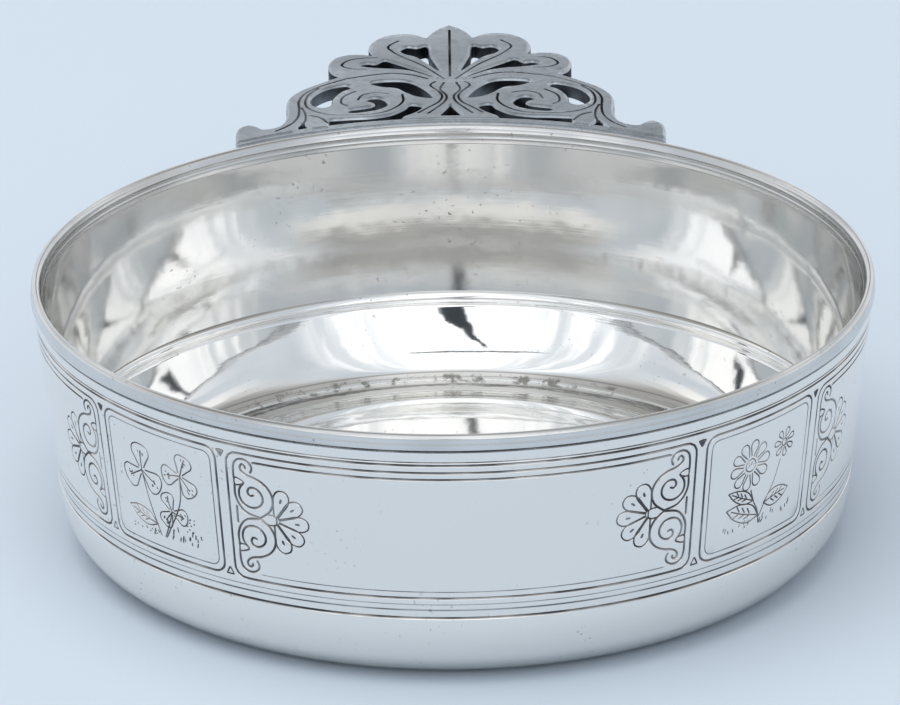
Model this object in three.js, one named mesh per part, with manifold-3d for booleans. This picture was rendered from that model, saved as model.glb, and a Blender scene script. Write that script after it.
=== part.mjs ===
// Silver porringer: a raised bowl, a moulded wire round its mouth and one pierced, cast handle.
// Millimetres, +Z up. The bowl stands on z = 0 and the handle points along +Y.

import * as THREE from 'three';
import { mergeVertices } from 'three/addons/utils/BufferGeometryUtils.js';
import Module from 'manifold-3d';

const wasm = await Module();
wasm.setup();

// Bowl: overall sizes
const bowlRadius = 63.5; // to the outside of the rim wire
const bowlHeight = 41.3; // table to the top of the rim wire
const sheet = 0.9; // thickness of the raised silver
const roundSides = 72; // facets round the bowl

// Bowl: the upright band, between the rolled groove and the rim wire
const bandFootHeight = 11.5;
const bandDraft = 2.9; // how far the band leans in towards its foot
const grooveWidth = 0.6;
const grooveDepth = 0.35;
const beadHeight = 2.2; // the swelling that the rolled groove raises inside
const beadDepth = 0.8;

// Bowl: the curved base, its resting ring and the pushed-up floor
const restRadius = 51.0; // outer edge of the flat resting ring
const restWidth = 2.6;
const baseFullness = 2.3; // 2 is an ellipse, more is squarer
const gutterWidth = 14.5; // from the resting ring to the edge of the dome
const gutterRise = 3.9;
const domeRise = 1.6;

// Rim wire: its outer face, its rounded top and the lip that reaches down inside the wall
const rimBand = 2.3; // height of the outer face and the rounded top
const rimWidth = 2.3; // outer face to inner face
const rimProud = 0.3; // outer face beyond the band
const rimCrown = 0.8; // height of the rounded top
const rimLip = 0.9; // reach of the inner lip below the wire's underside
const rimChamfer = 0.4;

// Handle: a pierced plate on a lower strip that follows the rim
const handleProud = 0.1; // top of the plate above the top of the rim wire
const handleThickness = 2.4;
const handleReach = 46.2; // leaf tip beyond the rim
const handleHalfWidth = 34.0;
const stripDrop = 0.5; // top of the strip below the top of the rim wire
const stripThickness = 1.9;
const stripWidth = 2.9;
const plateSetback = 1.7; // near edge of the plate beyond the rim
const cutRunout = 0.7; // how far the cuts at the near edge run past it

// Clearance between pieces that are soldered together
const joint = 0.3;

// What follows from those sizes
const bandTopHeight = bowlHeight - rimBand;
const wallTopHeight = bandTopHeight - joint / 2;
const bandTopRadius = bowlRadius - rimProud;
const bandFootRadius = bandTopRadius - bandDraft;
const restInner = restRadius - restWidth;
const handleTop = bowlHeight + handleProud;
const stripTop = bowlHeight - stripDrop;
const cutFoot = plateSetback - cutRunout;

function bandRadiusAt(height) {
  const up = (height - bandFootHeight) / (bandTopHeight - bandFootHeight);
  return bandFootRadius + bandDraft * up;
}

function point(x, y) {
  return new THREE.Vector2(x, y);
}

// A quarter of a superellipse, from the foot of the band in and down to the resting ring
function baseCurve(topRadius, ringRadius, floor, steps) {
  const points = [];
  for (let i = 0; i <= steps; i += 1) {
    const turn = (Math.PI / 2) * (i / steps);
    const across = Math.cos(turn) ** (2 / baseFullness);
    const down = Math.sin(turn) ** (2 / baseFullness);
    const radius = ringRadius + (topRadius - ringRadius) * across;
    points.push(point(radius, floor + (bandFootHeight - floor) * (1 - down)));
  }
  return points;
}

// From the resting ring up the gutter's far side and over the dome to the axis
function floorCurve(ringRadius, floor) {
  const gutterSteps = 5;
  const domeSteps = 4;
  const edge = ringRadius - gutterWidth;
  const points = [];
  for (let i = 0; i <= gutterSteps; i += 1) {
    const part = i / gutterSteps;
    const rise = (gutterRise * (1 - Math.cos(Math.PI * part))) / 2;
    points.push(point(ringRadius - gutterWidth * part, floor + rise));
  }
  for (let i = 1; i <= domeSteps; i += 1) {
    const part = 1 - i / domeSteps;
    points.push(point(edge * part, floor + gutterRise + domeRise * (1 - part * part)));
  }
  return points;
}

// The swelling inside, from its top down to its foot
function inwardBead(bottom) {
  const steps = 4;
  const points = [];
  for (let i = 0; i <= steps; i += 1) {
    const turn = Math.PI * (i / steps);
    const height = bottom + (beadHeight * (1 + Math.cos(turn))) / 2;
    const depth = beadDepth * Math.sin(turn);
    points.push(point(bandRadiusAt(height) - sheet - depth, height));
  }
  return points;
}

function turned(points) {
  const geometry = new THREE.LatheGeometry(points, roundSides);
  geometry.rotateX(Math.PI / 2);
  return geometry;
}

// The raised bowl, walked from the axis along its underside, up the band and back down inside
function bowlGeometry() {
  const outerSteps = 9;
  const innerSteps = 8;
  const beadFoot = bandFootHeight + grooveWidth / 2;
  const underside = floorCurve(restInner, 0).reverse();
  const outerBase = baseCurve(bandFootRadius, restRadius, 0, outerSteps).reverse();
  const groove = [
    point(bandFootRadius - grooveDepth, bandFootHeight + grooveWidth / 3),
    point(bandRadiusAt(bandFootHeight + grooveWidth), bandFootHeight + grooveWidth),
  ];
  const wallTop = [
    point(bandRadiusAt(wallTopHeight), wallTopHeight),
    point(bandRadiusAt(wallTopHeight) - sheet, wallTopHeight),
  ];
  const innerBase = baseCurve(bandFootRadius - sheet, restRadius - sheet / 2, sheet, innerSteps);
  return turned([
    ...underside,
    ...outerBase,
    ...groove,
    ...wallTop,
    ...inwardBead(beadFoot),
    ...innerBase.slice(1),
    ...floorCurve(restInner - sheet / 2, sheet),
  ]);
}

// The rim wire: a rounded bar that sits on the wall's edge, with a lip inside the wall
function rimGeometry() {
  const crownSteps = 6;
  const outer = bowlRadius;
  const inner = bowlRadius - rimWidth;
  const underside = wallTopHeight + joint;
  const shoulder = bowlHeight - rimCrown;
  const lipOuter = bandRadiusAt(wallTopHeight) - sheet - joint;
  const lipFoot = underside - rimLip - joint;
  const points = [point(lipOuter, underside), point(outer, underside)];
  for (let i = 0; i <= crownSteps; i += 1) {
    const turn = Math.PI * (i / crownSteps);
    const radius = (outer + inner) / 2 + (rimWidth / 2) * Math.cos(turn);
    points.push(point(radius, shoulder + rimCrown * Math.sin(turn)));
  }
  points.push(point(inner, lipFoot + rimChamfer));
  points.push(point(Math.min(inner + rimChamfer, lipOuter), lipFoot));
  points.push(point(lipOuter, lipFoot));
  points.push(points[0].clone());
  return turned(points);
}

// The handle's drawing: x across, d beyond the rim, both drawn for the sizes below
const drawnHalfWidth = 34.0;
const drawnReach = 46.2;

function onPlan([x, d]) {
  const across = (x * handleHalfWidth) / drawnHalfWidth;
  const beyond = d > plateSetback ? (d * handleReach) / drawnReach : d;
  return point(across, Math.sqrt(bowlRadius ** 2 - across ** 2) + beyond);
}

const mirrored = (points) => points.map(([x, d]) => [-x, d]).reverse();

const leafEdge = [[0, 46.2], [1.7, 44.5], [3.1, 42.2], [3.9, 40.0]];
const upperLobe = [[3.9, 40.0], [5.2, 41.5], [7.4, 42.4], [10.4, 42.0], [12.6, 39.8], [13.3, 37.0],
  [12.9, 34.4], [12.2, 32.7]];
const lowerLobe = [[12.2, 32.7], [14.5, 33.9], [17.1, 34.3], [19.0, 33.3], [19.8, 30.2],
  [19.1, 26.5], [17.8, 24.6]];
const frame = [[17.8, 24.6], [21.3, 22.4], [24.2, 20.3], [25.9, 17.7], [26.3, 14.7], [26.1, 11.0],
  [26.3, 7.9], [27.0, 5.9], [28.3, 5.1], [29.8, 5.3]];
const foot = [[29.8, 5.3], [31.0, 7.5], [32.2, 8.7], [33.6, 8.4], [34.0, 6.8], [34.0, plateSetback]];

// Piercings of one half
const besideLeaf = [[8.0, 34.9], [6.9, 36.2], [5.4, 35.6], [3.9, 36.4], [3.3, 31.9], [2.2, 26.9],
  [1.6, 24.1], [3.6, 27.8], [5.4, 31.1], [7.4, 33.0]];
const betweenLobes = [[14.8, 29.0], [13.5, 29.6], [12.2, 29.0], [10.6, 30.4], [9.3, 29.2], [6.2, 25.9],
  [3.2, 22.6], [2.2, 20.9], [4.6, 23.3], [6.4, 24.8], [9.0, 26.0], [11.2, 26.7], [14.0, 28.1]];
const overVolute = [[13.0, 20.2], [10.3, 20.6], [7.0, 19.8], [4.9, 17.3], [3.2, 13.6], [2.9, 11.6],
  [5.2, 12.5], [6.7, 14.2], [8.5, 16.8], [11.1, 18.0]];
const besideVolute = [[16.6, 20.0], [19.5, 19.7], [21.6, 17.8], [22.4, 15.1], [21.8, 12.3],
  [20.4, 10.9], [19.2, 11.8], [18.9, 14.7], [17.5, 17.5], [16.2, 18.5]];
const insideVolute = [[13.6, 12.0], [12.9, 13.0], [11.6, 12.9], [10.4, 11.3], [10.2, 9.4], [11.2, 7.9],
  [13.0, 7.1], [16.0, 7.1], [16.2, 8.5], [14.2, 8.8], [12.6, 9.2], [12.0, 10.3], [12.8, 11.3]];
const underVolute = [[19.3, 4.9], [15.9, 4.4], [12.7, 4.0], [9.5, 4.8], [7.2, 7.2], [6.4, 8.8],
  [4.6, 7.9], [5.3, 5.9], [7.6, 3.6]];
const underVoluteFoot = [[8.5, cutFoot], [19.2, cutFoot]];
const centreCorners = [[0, 8.2], [1.9, 3.4], [-1.9, 3.4]];
const besideFootCorners = [[23.5, 5.0], [25.2, cutFoot], [21.9, cutFoot]];

const outlineSteps = 3; // chords to each drawn point

function openStretch(points) {
  const curve = new THREE.SplineCurve(points.map(onPlan));
  return curve.getPoints((points.length - 1) * outlineSteps);
}

function closedLoop(points) {
  const flat = points.map(onPlan).map((p) => new THREE.Vector3(p.x, p.y, 0));
  const curve = new THREE.CatmullRomCurve3(flat, true, 'centripetal');
  return curve.getPoints(points.length * outlineSteps).slice(0, -1).map((p) => point(p.x, p.y));
}

function withoutRepeats(points) {
  return points.filter((p, i) => i === 0 || p.distanceTo(points[i - 1]) > 1e-6);
}

function nearEdge() {
  const steps = 28;
  const points = [];
  for (let i = 1; i < steps; i += 1) {
    points.push(onPlan([drawnHalfWidth * (1 - (2 * i) / steps), plateSetback]));
  }
  return points;
}

function plateOutline() {
  const half = [leafEdge, upperLobe, lowerLobe, frame, foot];
  const right = half.flatMap(openStretch);
  const left = half.map(mirrored).reverse().flatMap(openStretch);
  const loop = withoutRepeats([...right, ...nearEdge(), ...left]);
  return loop.slice(0, -1);
}

function extruded(shape, bottom, thickness) {
  const geometry = new THREE.ExtrudeGeometry(shape, { depth: thickness, bevelEnabled: false });
  geometry.translate(0, 0, bottom);
  return geometry;
}

// A strip that follows the rim, a soldering gap away from it
function stripShape() {
  const inner = bowlRadius + joint;
  const outer = bowlRadius + stripWidth;
  const steps = 20;
  const ends = { inner: Math.asin(handleHalfWidth / inner), outer: Math.asin(handleHalfWidth / outer) };
  const points = [];
  for (let i = 0; i <= steps; i += 1) {
    const angle = ends.inner * (1 - (2 * i) / steps);
    points.push(point(inner * Math.sin(angle), inner * Math.cos(angle)));
  }
  for (let i = 0; i <= steps; i += 1) {
    const angle = ends.outer * ((2 * i) / steps - 1);
    points.push(point(outer * Math.sin(angle), outer * Math.cos(angle)));
  }
  return new THREE.Shape(points);
}

function toSolid(geometry) {
  const bare = geometry.clone();
  bare.deleteAttribute('normal');
  bare.deleteAttribute('uv');
  const merged = mergeVertices(bare, 1e-4);
  const mesh = new wasm.Mesh({
    numProp: 3,
    vertProperties: new Float32Array(merged.attributes.position.array),
    triVerts: new Uint32Array(merged.index.array),
  });
  return new wasm.Manifold(mesh);
}

function toGeometry(solid) {
  const mesh = solid.getMesh();
  const geometry = new THREE.BufferGeometry();
  geometry.setAttribute('position', new THREE.BufferAttribute(mesh.vertProperties, 3));
  geometry.setIndex(new THREE.BufferAttribute(mesh.triVerts, 1));
  geometry.computeVertexNormals();
  return geometry;
}

function piercedPlate() {
  const bottom = handleTop - handleThickness;
  const overcut = 1;
  let plate = toSolid(extruded(new THREE.Shape(plateOutline()), bottom, handleThickness));
  const cut = (points) => {
    const tool = extruded(new THREE.Shape(points), bottom - overcut, handleThickness + 2 * overcut);
    plate = plate.subtract(toSolid(tool));
  };
  const loops = [besideLeaf, betweenLobes, overVolute, besideVolute, insideVolute];
  loops.forEach((loop) => {
    cut(closedLoop(loop));
    cut(closedLoop(mirrored(loop)));
  });
  const notch = [...openStretch(underVolute), ...underVoluteFoot.map(onPlan)];
  cut(notch);
  cut(notch.map((p) => point(-p.x, p.y)).reverse());
  cut(centreCorners.map(onPlan));
  cut(besideFootCorners.map(onPlan));
  cut(mirrored(besideFootCorners).map(onPlan));
  return plate;
}

function handleGeometry() {
  const strip = toSolid(extruded(stripShape(), stripTop - stripThickness, stripThickness));
  return toGeometry(piercedPlate().add(strip));
}

function piece(name, geometry, colour, roughness) {
  const material = new THREE.MeshStandardMaterial({ color: colour, roughness, metalness: 1 });
  const mesh = new THREE.Mesh(geometry, material);
  mesh.name = name;
  return mesh;
}

const porringer = new THREE.Group();
porringer.name = 'porringer';
porringer.add(piece('bowl', bowlGeometry(), 0xcdd2d8, 0.18));
porringer.add(piece('rim_wire', rimGeometry(), 0xd3d3d0, 0.2));
porringer.add(piece('handle', handleGeometry(), 0x9aa1a8, 0.34));

// The origin is on the table, under the middle of the whole length
porringer.position.y = -handleReach / 2;

export default porringer;
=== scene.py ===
"""Silver porringer: etched bowl, moulded rim wire and pierced handle, with their finishes."""

import math
import random

import bmesh
import bpy
import numpy as np
from mathutils import Matrix, Vector
from mathutils.geometry import delaunay_2d_cdt


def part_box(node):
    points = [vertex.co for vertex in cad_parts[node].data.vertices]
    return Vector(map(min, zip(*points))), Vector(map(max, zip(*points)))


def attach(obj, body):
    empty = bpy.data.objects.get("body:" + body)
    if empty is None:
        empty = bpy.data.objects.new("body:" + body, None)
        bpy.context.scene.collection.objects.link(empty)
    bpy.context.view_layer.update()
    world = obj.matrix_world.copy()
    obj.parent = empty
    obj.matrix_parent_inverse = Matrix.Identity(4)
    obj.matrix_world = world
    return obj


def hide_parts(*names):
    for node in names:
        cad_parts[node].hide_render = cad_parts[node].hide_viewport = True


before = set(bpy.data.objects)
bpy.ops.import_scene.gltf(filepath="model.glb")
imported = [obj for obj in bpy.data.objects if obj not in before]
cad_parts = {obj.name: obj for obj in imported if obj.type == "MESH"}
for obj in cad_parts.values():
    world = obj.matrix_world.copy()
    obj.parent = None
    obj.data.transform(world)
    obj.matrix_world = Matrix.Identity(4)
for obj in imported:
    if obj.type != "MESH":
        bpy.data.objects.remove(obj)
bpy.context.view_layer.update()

# Sizes are millimetres, and every mesh is scaled to metres when it is made
MM = 0.001

# What the frame gives
rim_low, rim_high = (np.array(corner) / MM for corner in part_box("rim_wire"))
handle_low, handle_high = (np.array(corner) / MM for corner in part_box("handle"))
AXIS_Y = float(rim_low[1] + rim_high[1]) / 2
RIM_RADIUS = float(rim_high[0] - rim_low[0]) / 2
RIM_TOP = float(rim_high[2])
HANDLE_TOP = float(handle_high[2])
HANDLE_HALF_WIDTH = float(handle_high[0] - handle_low[0]) / 2

# The bowl's own sizes
SHEET = 0.9
BAND_FOOT = 11.5
BAND_TOP = RIM_TOP - 2.5
BAND_DRAFT = 2.9
BAND_TOP_RADIUS = RIM_RADIUS - 0.3
BAND_FOOT_RADIUS = BAND_TOP_RADIUS - BAND_DRAFT
REST_RADIUS = 50.5
REST_WIDTH = 2.6
BASE_FULLNESS = 2.3
DOME_RADIUS = 33.9
GUTTER_RISE = 3.9
DOME_RISE = 1.6
INNER_BASE = [
    (59.25, 11.6), (59.06, 11.07), (58.62, 9.87), (58.15, 8.67), (57.64, 7.5), (57.1, 6.34), (56.49, 5.2),
    (55.8, 4.1), (54.96, 3.06), (54.46, 2.57), (53.87, 2.12), (53.18, 1.72), (52.3, 1.4), (51.43, 1.24),
    (50.2, 1.16),
]  # radius and height, from the bead's foot down to the lowest ring inside
BEAD_FOOT = 11.8
BEAD_HEIGHT = 2.2
BEAD_DEPTH = 0.8
GROOVE_WIDTH = 0.6
GROOVE_DEPTH = 0.27
ROUND_SIDES = 360

# The rim wire's section. Its inner lip is given in from the outer face, and down from the top
FACE_HEIGHT = 1.1
FACE_BULGE = 0.12
CROWN_INWARD = 0.8  # from the outer face to the crown's middle
CROWN_HALF_WIDTH = 0.72
CROWN_HEIGHT = 0.85
RIM_LIP = [(1.66, 1.1), (1.62, 1.18), (1.68, 2.0), (1.75, 2.08), (1.76, 2.7), (1.66, 3.0), (1.4, 3.1)]

# The etched band repeats four times round the bowl, each repeat a cartouche and a square
REPEATS = 4
REPEAT_ANGLE = 2 * math.pi / REPEATS
BAND_MIDDLE_RADIUS = 61.8
REPEAT_WIDTH = REPEAT_ANGLE * BAND_MIDDLE_RADIUS
DEGREES = np.linspace(0, REPEAT_WIDTH, int(math.degrees(REPEAT_ANGLE)) + 1)  # along a repeat, one apart
ETCH_FOOT = round(BAND_FOOT + 0.25, 4)
ETCH_TOP = round(BAND_TOP - 0.26, 4)
SQUARE_ANGLE = math.radians(22.8)
TURNED_BY = math.radians(1.0)  # the middle of the front cartouche, off the handle's line

LINE = 0.46  # width of an etched line
FINE_LINE = 0.32
CUT = 0.18  # depth of an etched line
FILL_ROWS = 14  # rows of places between the lines


# Curves


def smooth(points, steps=6, closed=False):
    """A centripetal Catmull-Rom curve through the points."""
    given = [np.array(p, float) for p in points]
    if closed:
        ring = [given[-1], *given, given[0], given[1]]
    else:
        ring = [2 * given[0] - given[1], *given, 2 * given[-1] - given[-2]]
    made = []
    for before, start, end, after in zip(ring, ring[1:], ring[2:], ring[3:]):
        knots = [0.0]
        for a, b in ((before, start), (start, end), (end, after)):
            knots.append(knots[-1] + max(np.linalg.norm(b - a), 1e-6) ** 0.5)
        t0, t1, t2, t3 = knots
        for i in range(steps):
            t = t1 + (t2 - t1) * i / steps
            a1 = (t1 - t) / (t1 - t0) * before + (t - t0) / (t1 - t0) * start
            a2 = (t2 - t) / (t2 - t1) * start + (t - t1) / (t2 - t1) * end
            a3 = (t3 - t) / (t3 - t2) * end + (t - t2) / (t3 - t2) * after
            b1 = (t2 - t) / (t2 - t0) * a1 + (t - t0) / (t2 - t0) * a2
            b2 = (t3 - t) / (t3 - t1) * a2 + (t - t1) / (t3 - t1) * a3
            made.append((t2 - t) / (t2 - t1) * b1 + (t - t1) / (t2 - t1) * b2)
    if not closed:
        made.append(given[-1])
    return np.array(made)


def even(points, spacing, closed=False):
    """The same line with its places about as far apart as the spacing."""
    line = np.array(points, float)
    if closed:
        line = np.vstack([line, line[:1]])
    lengths = np.linalg.norm(np.diff(line, axis=0), axis=1)
    along = np.concatenate([[0], np.cumsum(lengths)])
    count = max(2, int(round(along[-1] / spacing)) + 1)
    places = np.linspace(0, along[-1], count)
    made = np.stack([np.interp(places, along, line[:, k]) for k in range(2)], axis=1)
    return made[:-1] if closed else made


def directions(line, closed):
    """At each place of a line, a unit step along it and one to its left."""
    if closed:
        along = np.roll(line, -1, axis=0) - np.roll(line, 1, axis=0)
    else:
        along = np.gradient(line, axis=0)
    along /= np.maximum(np.linalg.norm(along, axis=1, keepdims=True), 1e-9)
    return along, np.stack([-along[:, 1], along[:, 0]], axis=1)


def arc(centre, radius, start, end, steps):
    """Part of a circle, with its angles in degrees."""
    turns = np.radians(np.linspace(start, end, steps))
    return np.stack([centre[0] + radius * np.cos(turns), centre[1] + radius * np.sin(turns)], axis=1)


def rounded_frame(left, right, low, high, radius):
    """A closed rectangle with round corners, walked against the clock."""
    left, right, low, high = left + radius, right - radius, low + radius, high - radius
    centres = ((right, high), (left, high), (left, low), (right, low))
    return np.vstack([arc(centre, radius, 90 * k, 90 * k + 90, 7) for k, centre in enumerate(centres)])


def distance_to_segments(places, starts, ends):
    """The least distance from each place to any of the segments."""
    best = np.full(len(places), np.inf)
    along = ends - starts
    squared = np.maximum((along**2).sum(1), 1e-12)
    batch = 4000
    for first in range(0, len(places), batch):
        some = places[first : first + batch, None, :] - starts
        share = np.clip((some * along).sum(2) / squared, 0, 1)
        gaps = some - share[..., None] * along
        best[first : first + batch] = np.sqrt((gaps**2).sum(2).min(1))
    return best


def near_segments(places, starts, ends, margin):
    """Which places lie in the box about the segments."""
    low = np.minimum(starts, ends).min(axis=0) - margin
    high = np.maximum(starts, ends).max(axis=0) + margin
    return np.flatnonzero(((places >= low) & (places <= high)).all(axis=1))


def inside_loop(places, loop):
    """Which places lie inside a closed outline."""
    within = np.zeros(len(places), bool)
    x, y = places[:, 0], places[:, 1]
    for (ax, ay), (bx, by) in zip(loop, np.roll(loop, -1, axis=0)):
        if ay == by:
            continue
        crosses = (ay > y) != (by > y)
        within ^= crosses & (x < (bx - ax) * (y - ay) / (by - ay) + ax)
    return within


# Engraved lines, laid into a flat drawing that is then triangulated


class Drawing:
    """Lines to cut, as chains of places that the triangles keep to."""

    def __init__(self):
        self.places = []
        self.edges = []
        self.cuts = []

    def chain(self, points, closed=False):
        first = len(self.places)
        self.places.extend(map(tuple, points))
        count = len(points)
        self.edges.extend((first + i, first + i + 1) for i in range(count - 1))
        if closed:
            self.edges.append((first + count - 1, first))

    def line(self, points, width=LINE, depth=CUT, closed=False, capped=True):
        """A cut with a bottom line and two edges, and with points at its ends where it's capped."""
        middle = np.array(points, float)
        along, aside = directions(middle, closed)
        aside = aside * width / 2
        left, right = middle + aside, middle - aside
        self.chain(middle, closed)
        if capped and not closed:
            start = middle[0] - along[0] * width / 2
            end = middle[-1] + along[-1] * width / 2
            self.chain(np.vstack([[start], left, [end], right[::-1]]), True)
        else:
            self.chain(left, closed)
            self.chain(right, closed)
        ends = np.roll(middle, -1, axis=0) if closed else middle[1:]
        starts = middle if closed else middle[:-1]
        self.cuts.append((starts, ends, width / 2, depth))

    def depth_at(self, places):
        """How deep the deepest cut is at each place."""
        depth = np.zeros(len(places))
        for starts, ends, half, deepest in self.cuts:
            near = near_segments(places, starts, ends, half)
            gaps = distance_to_segments(places[near], starts, ends)
            depth[near] = np.maximum(depth[near], deepest * np.clip(1 - gaps / half, 0, 1))
        return depth

    def clear_of_cuts(self, places, margin):
        """Those of the places that lie clear of every cut."""
        clear = np.ones(len(places), bool)
        for starts, ends, *_ in self.cuts:
            near = near_segments(places, starts, ends, margin)
            clear[near] &= distance_to_segments(places[near], starts, ends) > margin
        return places[clear]

    def triangles(self, extra=()):
        """The triangulated drawing: its places and its triangles."""
        places = [Vector(p) for p in [*self.places, *map(tuple, extra)]]
        made, _, faces, *_ = delaunay_2d_cdt(places, self.edges, [], 0, 1e-5, False)
        return np.array([tuple(p) for p in made]), np.array(faces, int)


# The etched band's ornament. Across is from the divider into the cartouche, down from its top line

FRAME_TOP = 35.3
FRAME_FOOT = 14.75
FRAME_INSET = 0.93  # from the middle of a divider to a frame
FRAME_CORNER = 1.8
SCROLL_MIDDLE = 10.1  # down from the frame's top line

# Straight lines: height, width and share of the full depth
BAND_LINES = ((37.0, FINE_LINE, 0.6), (36.5, LINE, 1.0), (13.7, FINE_LINE, 0.35), (12.8, LINE, 0.45))
CARTOUCHE_LINES = ((34.2, LINE, 0.9), (15.8, FINE_LINE, 0.4))
CARTOUCHE_LINES_START = 5.6  # from the middle of a divider

# A square's two frames: inset, corner radius, width and share of the full depth
SQUARE_FRAMES = ((0, FRAME_CORNER, LINE, 1.0), (0.95, FRAME_CORNER - 0.5, FINE_LINE, 0.5))

CURL_OUTLINE = [(2.04, 4.2), (2.04, 2.7), (2.3, 1.6), (3.1, 0.95), (4.05, 0.9), (4.85, 1.35), (5.15, 2.1),
                (4.85, 2.85)]
CURL_AND_VOLUTE = [(3.5, 1.75), (3.15, 2.2), (3.45, 2.85), (4.3, 3.35), (5.7, 3.7), (7.1, 4.5), (8.0, 5.8),
                   (8.15, 7.4), (7.5, 8.8), (6.0, 10.05)]
CURL_EYE = [(3.55, 1.7), (4.0, 1.85), (4.05, 2.3)]
VOLUTE_SPIRAL = [(3.65, 4.75), (2.85, 5.8), (2.75, 7.1), (3.4, 8.15), (4.6, 8.6), (5.85, 8.25), (6.55, 7.2),
                 (6.35, 6.0), (5.45, 5.3), (4.5, 5.4), (4.15, 6.1), (4.55, 6.7), (5.1, 6.5)]
VOLUTE_BACK = [(2.1, 5.3), (2.05, 6.9), (2.55, 8.3), (3.7, 9.5), (6.0, 10.05)]
NOTCH = [(2.15, 4.1), (3.0, 4.25), (3.7, 4.7), (2.75, 5.25), (2.15, 5.2)]
TIE = [(7.2, 9.25), (8.45, 9.4), (8.45, 10.8), (7.2, 10.95)]
PALMETTE_ROOT = (8.3, 10.1)
PALMETTE_ANGLES = (72, 37, 0, -37, -72)
PETAL_LENGTH = 5.3
PETAL_HALF_WIDTH = 1.25


def away(root, angle, length):
    """The place at that length from the root, with the angle in degrees."""
    turn = math.radians(angle)
    return (root[0] + length * math.cos(turn), root[1] + length * math.sin(turn))


def petal(root, angle, length, half_width):
    """A petal's outline from its root, with a round end."""
    profile = [(0.12, 0.25), (0.4, 0.62), (0.65, 0.95), (0.85, 0.88), (0.97, 0.5), (1.0, 0.0)]
    side = [(length * a, half_width * b) for a, b in profile]
    outline = side + [(a, -b) for a, b in side[-2::-1]]
    across, up = math.cos(math.radians(angle)), math.sin(math.radians(angle))
    return [(root[0] + a * across - b * up, root[1] + a * up + b * across) for a, b in outline]


def cartouche_end():
    """One end of a cartouche as lines: points, width, depth and whether the line closes."""
    curls = (CURL_OUTLINE, CURL_AND_VOLUTE, CURL_EYE, VOLUTE_SPIRAL, VOLUTE_BACK)
    made = [(points, LINE, CUT, False) for points in curls]
    made.append((NOTCH, FINE_LINE, CUT, True))
    made += [([(x, 2 * SCROLL_MIDDLE - y) for x, y in points], *rest) for points, *rest in made]
    made.append(([(2.15, SCROLL_MIDDLE - 1.35), (2.15, SCROLL_MIDDLE + 1.35)], LINE, CUT, False))
    made.append((TIE, FINE_LINE, CUT * 0.8, False))
    for angle in PALMETTE_ANGLES:
        depth = CUT * (0.75 if abs(angle) < 60 else 1.0)
        made.append((petal(PALMETTE_ROOT, angle, PETAL_LENGTH, PETAL_HALF_WIDTH), FINE_LINE, depth, False))
        drop = [away(PALMETTE_ROOT, angle, PETAL_LENGTH * far) for far in (0.62, 0.72)]
        made.append((drop, LINE, depth, False))
    return made


# The squares' plants, each drawn in a box 19 wide and 17 high about its middle


def leaf(root, tip, bulge):
    """Two bowed edges, a midrib and a few short veins."""
    root, tip = np.array(root, float), np.array(tip, float)
    along = tip - root
    aside = np.array([-along[1], along[0]]) / np.linalg.norm(along) * bulge
    lines = []
    for bow in (aside, -aside):
        lines.append(smooth([root, root + along * 0.3 + bow, root + along * 0.7 + bow * 0.85, tip]))
    lines.append(smooth([root + along * 0.06, root + along * 0.5 + aside * 0.1, root + along * 0.86]))
    for place in (0.3, 0.46, 0.62):
        for side in (1, -1):
            start = root + along * place + aside * 0.12 * side
            lines.append(np.array([start, start + along * 0.12 + aside * 0.5 * side]))
    return lines


def blossom(middle, reach, petals, start, dots):
    """Petals about a round eye with a few dots in it."""
    lines = []
    for k in range(petals):
        angle = start + 360 * k / petals
        root = away(middle, angle, 0.28 * reach)
        lines.append(smooth(petal(root, angle, reach * 0.72, reach * 0.2), 3))
    lines.append(arc(middle, reach * 0.26, 0, 345, 14))
    for _ in range(dots):
        x, y = (dots_draw.uniform(-0.16, 0.16) * reach for _ in range(2))
        lines.append(np.array([(middle[0] + x, middle[1] + y), (middle[0] + x + 0.14, middle[1] + y + 0.1)]))
    return lines


def dashes(middle, spread, count, angle, length):
    """Short strokes scattered about a place, as an etcher's shading."""
    lines = []
    for _ in range(count):
        x = middle[0] + dots_draw.uniform(-1, 1) * spread[0]
        y = middle[1] + dots_draw.uniform(-1, 1) * spread[1]
        turn = angle + dots_draw.uniform(-18, 18)
        reach = length * dots_draw.uniform(0.5, 1.1)
        lines.append(np.array([(x, y), away((x, y), turn, reach)]))
    return lines


def daisy_plant():
    lines = blossom((-2.6, 3.4), 4.3, 10, 8, 7)
    lines += blossom((5.3, 4.9), 2.5, 7, 20, 3)
    lines.append(smooth([(-2.1, -1.1), (-1.2, -3.4), (-0.1, -5.4), (0.4, -7.6)]))
    lines.append(smooth([(4.6, 2.2), (3.4, -1.2), (1.5, -4.3), (0.4, -6.4)]))
    lines += leaf((0.2, -6.2), (-7.2, -3.4), 1.5)
    lines += leaf((1.2, -4.4), (7.4, -3.6), 1.4)
    lines += leaf((-1.3, -3.2), (-7.0, -0.4), 1.0)
    lines += dashes((3.8, -7.2), (4.2, 0.7), 16, 80, 0.8)
    lines += dashes((-4.6, -7.4), (3.2, 0.5), 10, 95, 0.7)
    return lines


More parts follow.
